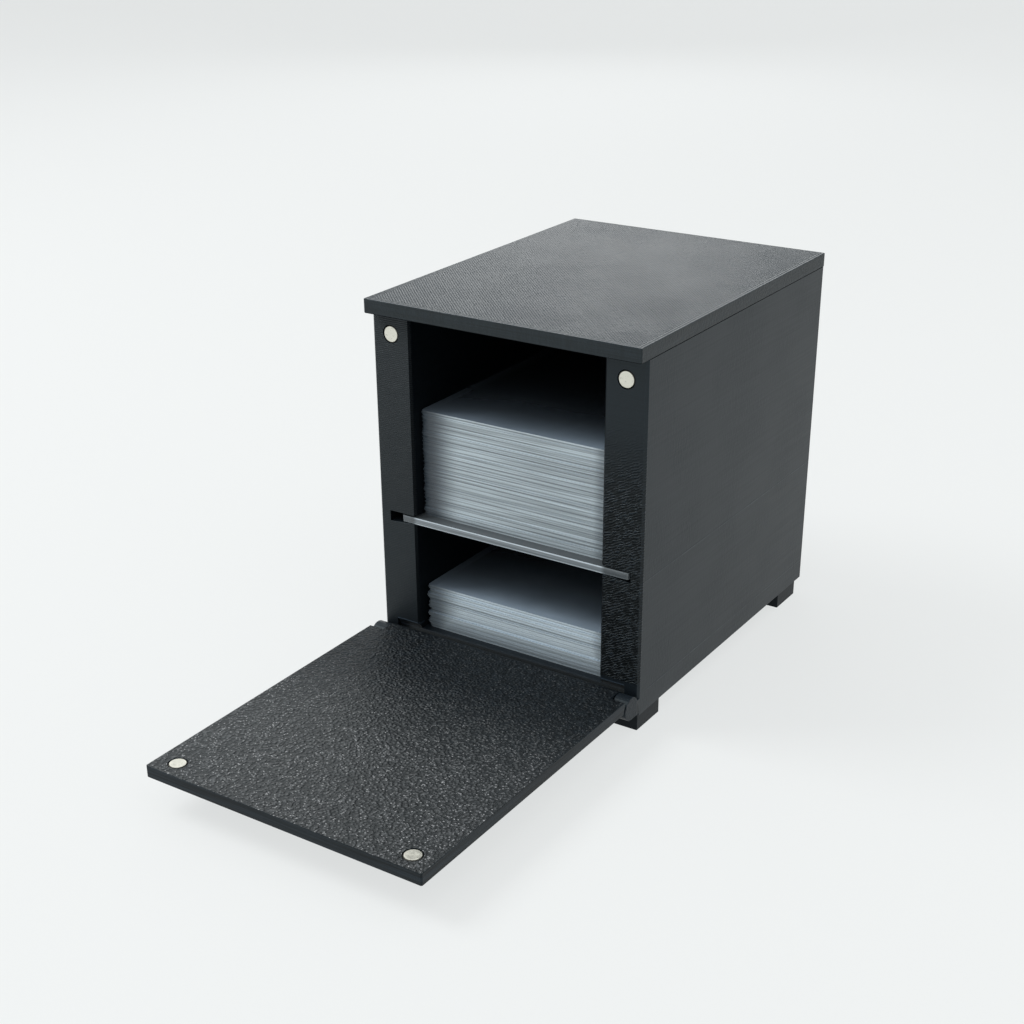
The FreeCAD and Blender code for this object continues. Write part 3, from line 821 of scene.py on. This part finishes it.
def stack_tree():
    """One stack: films, welded sides and a closed end make a holder, set out on a column."""
    if "card holder stack" in bpy.data.node_groups:
        return bpy.data.node_groups["card holder stack"]
    group = new_group("card holder stack", "GeometryNodeTree", STACK_INPUTS)
    group.interface.new_socket("Geometry", in_out="OUTPUT", socket_type="NodeSocketGeometry")
    tree = Tree(group)
    given = tree.add("NodeGroupInput").outputs
    end = tree.add("NodeGroupOutput")
    thickness = tree.minus(given["Pitch"], HOLDER_GAP)
    gap = tree.minus(thickness, tree.times(given["Film"], 2.0))

    def paint(geometry, material, selection=True):
        return tree.first("GeometryNodeSetMaterial",
                          {"Geometry": geometry, "Selection": selection,
                           "Material": given[material]})

    def move(geometry, x, y, z):
        return tree.first("GeometryNodeTransform",
                          {"Geometry": geometry, "Translation": tree.join(x, y, z)})

    def unite(*parts):
        whole = tree.add("GeometryNodeJoinGeometry")
        for part in parts:
            tree.put(part, whole.inputs[0])
        return whole.outputs[0]

    def film(level):
        """A film with round corners: its flats and its cut edge have their own material."""
        outline = tree.first("GeometryNodeCurvePrimitiveQuadrilateral",
                             {"Width": given["Width"], "Height": given["Length"]})
        rounded = tree.first("GeometryNodeFilletCurve",
                             {"Curve": outline, "Radius": given["Corner"], "Count": 4},
                             mode="POLY")
        flat = tree.first("GeometryNodeFillCurve", {"Curve": rounded}, mode="NGONS")
        flat = paint(flat, "Film Material")
        raised = tree.add("GeometryNodeExtrudeMesh",
                          {"Mesh": flat, "Offset": (0.0, 0.0, 1.0),
                           "Offset Scale": given["Film"], "Individual": False},
                          mode="FACES").outputs
        edged = paint(raised["Mesh"], "Edge Material", raised["Side"])
        under = tree.first("GeometryNodeFlipFaces", {"Mesh": flat})
        merged = tree.first("GeometryNodeMergeByDistance",
                            {"Geometry": unite(edged, under), "Distance": 0.000001})
        return move(merged, 0.0, 0.0, level)

    def strip(size_x, size_y, x, y):
        """A welded strip between the two films."""
        block = tree.first("GeometryNodeMeshCube", {"Size": tree.join(size_x, size_y, gap)})
        middle = tree.math("DIVIDE", thickness, 2.0)
        return paint(move(block, x, y, middle), "Weld Material")

    def reach(side):
        """How far a strip's middle lies from the holder's middle."""
        half = tree.math("DIVIDE", given[side], 2.0)
        return tree.minus(tree.minus(half, tree.math("DIVIDE", given["Weld"], 2.0)), WELD_INSET)

    weld, reach_x = given["Weld"], reach("Width")
    long_x = tree.minus(given["Width"], 4.0 * WELD_INSET)
    long_y = tree.minus(given["Length"], 4.0 * WELD_INSET)
    holder = unite(film(0.0), film(tree.minus(thickness, given["Film"])),
                   strip(weld, long_y, reach_x, 0.0),
                   strip(weld, long_y, tree.times(reach_x, -1.0), 0.0),
                   strip(long_x, weld, 0.0, tree.times(reach("Length"), -1.0)))
    column = tree.first("GeometryNodeMeshLine",
                        {"Count": given["Count"], "Start Location": given["Start"],
                         "Offset": tree.join(0.0, 0.0, given["Pitch"])})
    loose = tree.first("FunctionNodeRandomValue",
                       {0: tree.join(tree.times(given["Sway"], -1.0), 0.0, 0.0),
                        1: tree.join(given["Sway"], given["Slide"], 0.0),
                        "Seed": given["Seed"]}, data_type="FLOAT_VECTOR")
    shifted = tree.first("GeometryNodeSetPosition", {"Geometry": column, "Offset": loose})
    placed = tree.first("GeometryNodeInstanceOnPoints", {"Points": shifted, "Instance": holder})
    tree.put(tree.first("GeometryNodeRealizeInstances", {"Geometry": placed}), end.inputs[0])
    return group


def holder_stack(name, count, low, high, seed, film, edge, weld):
    """Runs the stack tree inside the CAD stack's own box and keeps a plain mesh."""
    look = settings("holders")
    piece = new_piece(name, bpy.data.meshes.new(name))
    maker = piece.modifiers.new("stack", "NODES")
    maker.node_group = stack_tree()
    values = {
        "Count": count, "Pitch": look.pitch, "Width": look.width, "Length": look.length,
        "Film": look.film, "Weld": look.weld, "Corner": look.corner, "Seed": seed,
        "Sway": (high[0] - low[0] - look.width) / 2,
        "Slide": high[1] - low[1] - look.length,
        "Start": (middle(low, high)[0], low[1] + look.length / 2, low[2]),
        "Film Material": film, "Edge Material": edge, "Weld Material": weld,
    }
    for item in maker.node_group.interface.items_tree:
        if item.name in values:
            maker[item.identifier] = values[item.name]
    apply_modifiers(piece)
    shade_faces(piece.data, False)
    return piece


# Operators, one for each piece or group of like pieces

class CARDBOX_OT_studio(bpy.types.Operator):
    """Add the floor, the backdrop, the lights and the camera"""
    bl_idname = "cardbox.studio"
    bl_label = "Studio"

    def execute(self, context):
        look = settings("studio")
        self.add_floor(look)
        self.add_world(look)
        self.add_lamps(look)
        self.add_camera(look)
        return {"FINISHED"}

    def add_floor(self, look):
        """One sheet: level under the box, curving up a long way behind it."""
        profile = [(PAPER_FRONT, 0.0), (PAPER_BACK, 0.0)]
        for step in range(1, PAPER_STEPS + 1):
            angle = math.radians(90.0 * step / PAPER_STEPS)
            profile.append((PAPER_BACK + PAPER_CURVE * math.sin(angle),
                            PAPER_CURVE - PAPER_CURVE * math.cos(angle)))
        profile.append((PAPER_BACK + PAPER_CURVE, PAPER_TOP))
        shape = bmesh.new()
        rows = [[shape.verts.new((x, y, z)) for x in (-PAPER_HALF_WIDTH, PAPER_HALF_WIDTH)]
                for y, z in profile]
        for near, far in zip(rows, rows[1:]):
            shape.faces.new((near[0], near[1], far[1], far[0]))
        material = bpy.data.materials.new("backdrop_paper")
        tree = Tree(cleared(material))
        position, x, y, z = tree.places()
        tooth = tree.noise(position, 900.0)
        # painted light and shade: the paper is painted a little brighter to the right and darker up
        # the back
        paper = tree.coats(tree.tones(tree.ramp(x, -0.5, 0.45), look.floor_colour, 0.985, 1.02),
                           (tree.ramp(y, 0.1, 1.9), rgba(look.floor_colour, 0.94)))
        matte = tree.first("ShaderNodeBsdfDiffuse",
                           {"Color": paper, "Normal": tree.bumps((tooth, 0.0001, 0.2))})
        glow = tree.first("ShaderNodeEmission", {"Color": paper, "Strength": 1.0})
        mixed = tree.first("ShaderNodeMixShader",
                           {0: tree.times(is_seen(tree), 0.77), 1: matte, 2: glow})
        tree.add("ShaderNodeOutputMaterial", {0: mixed})
        new_piece("backdrop", mesh_from(shape, "backdrop"), material)

    def add_world(self, look):
        """Even light from all round, paler where it is seen directly."""
        world = bpy.data.worlds.new("studio room")
        bpy.context.scene.world = world
        tree = Tree(cleared(world))
        z = tree.places("Generated")[3]
        room = tree.mix_colour(tree.ramp(z, 0.0, 0.8), ROOM_LOW, ROOM_HIGH)
        strength = tree.mix_number(is_seen(tree), look.sky, 1.0)
        background = tree.first("ShaderNodeBackground", {"Color": room, "Strength": strength})
        tree.add("ShaderNodeOutputWorld", {0: background})

    def add_lamps(self, look):
        for name, power, size, place, aim in (
                ("soft box left", look.soft_box, 0.7, (-0.95, -0.35, 1.15), (0.0, 0.0, 0.05)),
                ("back light", look.back_light, 0.6, (-0.75, 1.35, 0.62), (0.0, 0.0, 0.12)),
        ):
            lamp = configure(bpy.data.lights.new(name, "AREA"), shape="SQUARE", size=size,
                             energy=power, color=LAMP_COLOUR)
            turn = (Vector(aim) - Vector(place)).to_track_quat("-Z", "Y").to_euler()
            configure(new_object(name, lamp), location=place, rotation_euler=turn)

    def add_camera(self, look):
        lens = configure(bpy.data.cameras.new("camera"), sensor_width=36.0,
                         sensor_fit="HORIZONTAL", lens=look.focal_length,
                         shift_x=CAMERA_SHIFT[0], shift_y=CAMERA_SHIFT[1],
                         clip_start=0.01, clip_end=50.0)
        bpy.context.scene.camera = configure(new_object("camera", lens), location=CAMERA_PLACE,
                                             rotation_euler=Euler(CAMERA_TURN, "XYZ"))


class CARDBOX_OT_shell(bpy.types.Operator):
    """Add the printed box with its softened edges"""
    bl_idname = "cardbox.shell"
    bl_label = "Box shell"

    def execute(self, context):
        width = settings("print").edge_round * 0.4
        # painted shade: darker copies of the print go on the posts' inner faces, the hinge lobes
        # and the rim under the lid
        piece = printed_copy("box_shell", "printed_box", width,
                             shell_material("printed_shell", 1.0, 0.33),
                             shell_material("printed_inside_shade", 0.45, 0.12),
                             shell_material("printed_lobes_shade", 0.7, 0.20),
                             shell_material("printed_rim_shade", 0.1, 0.03))
        for face in piece.data.polygons:
            x, y, z = face.center
            inward = x * face.normal.x < -0.3 * abs(x)
            if abs(x) < SHELL_HIGH[0] - 0.002 and y > FRONT_FACE - 0.0005 and inward:
                face.material_index = 1
            elif y < FRONT_FACE - 0.0006:
                face.material_index = 2
            elif z > SHELL_HIGH[2] - width and face.normal.z > 0.1:
                face.material_index = 3
        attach(piece, "box")
        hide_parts("box_shell")
        return {"FINISHED"}


class CARDBOX_OT_lid(bpy.types.Operator):
    """Add the printed lid"""
    bl_idname = "cardbox.lid"
    bl_label = "Lid"

    def execute(self, context):
        width = settings("print").edge_round
        # painted shade: the lid's underside at the seam gets a darker copy of the print
        piece = printed_copy("lid", "printed_lid", width, lid_material(),
                             shell_material("printed_seam_shade", 0.1, 0.03))
        seam = SHELL_HIGH[2]
        for face in piece.data.polygons:
            if seam < face.center.z < seam + width and face.normal.z < -0.1:
                face.material_index = 1
        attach(piece, "lid")
        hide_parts("lid")
        return {"FINISHED"}


class CARDBOX_OT_door(bpy.types.Operator):
    """Add the door with its textured inner face"""
    bl_idname = "cardbox.door"
    bl_label = "Door"

    def execute(self, context):
        width = settings("print").edge_round
        piece = printed_copy("door", "printed_door", width, door_material(), door_edge_material())
        for face in piece.data.polygons:
            face.material_index = 1 if abs(face.normal.z) < 0.5 else 0
        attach(piece, "door")
        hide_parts("door")
        return {"FINISHED"}


class CARDBOX_OT_feet(bpy.types.Operator):
    """Add the four feet"""
    bl_idname = "cardbox.feet"
    bl_label = "Feet"

    def execute(self, context):
        width = settings("print").edge_round
        # painted shade: the feet get a darker copy of the print
        piece = printed_copy("feet", "printed_feet", width,
                             shell_material("printed_feet", 0.6, 0.15))
        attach(piece, "box")
        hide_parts("feet")
        return {"FINISHED"}


class CARDBOX_OT_pin(bpy.types.Operator):
    """Add the steel hinge pin"""
    bl_idname = "cardbox.pin"
    bl_label = "Hinge pin"

    def execute(self, context):
        look = settings("hardware")
        radius = (PIN_HIGH[2] - PIN_LOW[2]) / 2
        shape = turned_disc(radius, PIN_HIGH[0] - PIN_LOW[0], look.pin_edge, 40)
        centre = middle(PIN_LOW, PIN_HIGH)
        shape.transform(Matrix.Translation((PIN_LOW[0], centre[1], centre[2]))
                        @ Matrix.Rotation(math.radians(90.0), 4, "Y"))
        material = metal_material("drawn_steel", look.pin_colour, 0.34, 1500.0)
        piece = new_piece("steel_pin", mesh_from(shape, "steel_pin"), material, material)
        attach(piece, "box")
        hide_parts("hinge_pin")
        return {"FINISHED"}


class CARDBOX_OT_shelf(bpy.types.Operator):
    """Add the clear shelf"""
    bl_idname = "cardbox.shelf"
    bl_label = "Clear shelf"

    def execute(self, context):
        look = settings("hardware")
        shape = rounded_plate(SHELF_LOW, SHELF_HIGH, look.shelf_corner, look.shelf_edge)
        piece = new_piece("clear_shelf", mesh_from(shape, "clear_shelf"),
                          shelf_material(), shelf_edge_material())
        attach(piece, "box")
        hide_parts("shelf")
        return {"FINISHED"}


class CARDBOX_OT_magnets(bpy.types.Operator):
    """Add the two pairs of disc magnets"""
    bl_idname = "cardbox.magnets"
    bl_label = "Disc magnets"

    def execute(self, context):
        look = settings("hardware")
        plate = metal_material("nickel_plate", look.magnet_colour, 0.42, 2600.0)
        # painted shade: the magnets' rims get a dark copy of the plating, for the shade in the gap
        # round each magnet
        rim_shade = rgba(look.magnet_colour, 0.06)
        rim = metal_material("nickel_rim_shade", rim_shade, 0.5, 2600.0)
        for node, body, upright in (("magnets_post", "box", True), ("magnets_door", "door", False)):
            low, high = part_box(node)
            centre = middle(low, high)
            thin, wide = (1, 2) if upright else (2, 1)
            thickness = high[thin] - low[thin]
            radius = (high[wide] - low[wide]) / 2
            joined = bmesh.new()
            for x in (low[0] + radius, high[0] - radius):
                disc = turned_disc(radius, thickness, look.magnet_edge)
                seat = Matrix.Translation((x, centre[1], low[2]))
                if upright:
                    seat = Matrix.Translation((x, high[1], centre[2]))
                    seat = seat @ Matrix.Rotation(math.radians(90.0), 4, "X")
                disc.transform(seat)
                part = mesh_from(disc, "disc")
                joined.from_mesh(part)
                bpy.data.meshes.remove(part)
            name = "disc_" + node
            piece = new_piece(name, mesh_from(joined, name), plate, rim)
            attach(piece, body)
            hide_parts(node)
        return {"FINISHED"}


class CARDBOX_OT_holders(bpy.types.Operator):
    """Add both stacks of clear card holders"""
    bl_idname = "cardbox.holders"
    bl_label = "Card holders"

    def execute(self, context):
        look = settings("holders")
        film = film_material()
        edge = film_edge_material("film_edge", 1.0)
        weld = film_edge_material("film_weld", 0.62)
        for name, node, count, low, high, seed in (
                ("upper_stack", "upper_card_holders", look.upper_count, UPPER_LOW, UPPER_HIGH, 4),
                ("lower_stack", "lower_card_holders", look.lower_count, LOWER_LOW, LOWER_HIGH, 9),
        ):
            piece = holder_stack(name, count, low, high, seed, film, edge, weld)
            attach(piece, "box")
            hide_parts(node)
        return {"FINISHED"}


class CARDBOX_PT_panel(bpy.types.Panel):
    """Card box pieces"""
    bl_idname = "CARDBOX_PT_panel"
    bl_label = "Card box"
    bl_space_type = "VIEW_3D"
    bl_region_type = "UI"
    bl_category = "Card box"

    def draw(self, context):
        for name in SETTINGS:
            group = getattr(context.scene, name)
            column = self.layout.column(align=True)
            for key in group.bl_rna.properties.keys():
                if key not in {"rna_type", "name"}:
                    column.prop(group, key)
        for operator in OPERATORS:
            self.layout.operator(operator.bl_idname)


OPERATORS = (
    CARDBOX_OT_studio, CARDBOX_OT_shell, CARDBOX_OT_lid, CARDBOX_OT_door, CARDBOX_OT_feet,
    CARDBOX_OT_pin, CARDBOX_OT_shelf, CARDBOX_OT_magnets, CARDBOX_OT_holders,
)
SETTINGS = {
    "card_box_print": PrintSettings,
    "card_box_holders": HolderSettings,
    "card_box_hardware": HardwareSettings,
    "card_box_studio": StudioSettings,
}
CLASSES = (*SETTINGS.values(), *OPERATORS, CARDBOX_PT_panel)


def register():
    for item in CLASSES:
        bpy.utils.register_class(item)
    for name, group in SETTINGS.items():
        setattr(bpy.types.Scene, name, PointerProperty(type=group))


def unregister():
    for name in SETTINGS:
        delattr(bpy.types.Scene, name)
    for item in reversed(CLASSES):
        bpy.utils.unregister_class(item)


def main():
    register()
    for operator in OPERATORS:
        group, name = operator.bl_idname.split(".")
        getattr(getattr(bpy.ops, group), name)()
    bpy.context.scene.view_settings.view_transform = "Standard"


if __name__ == "__main__":
    main()
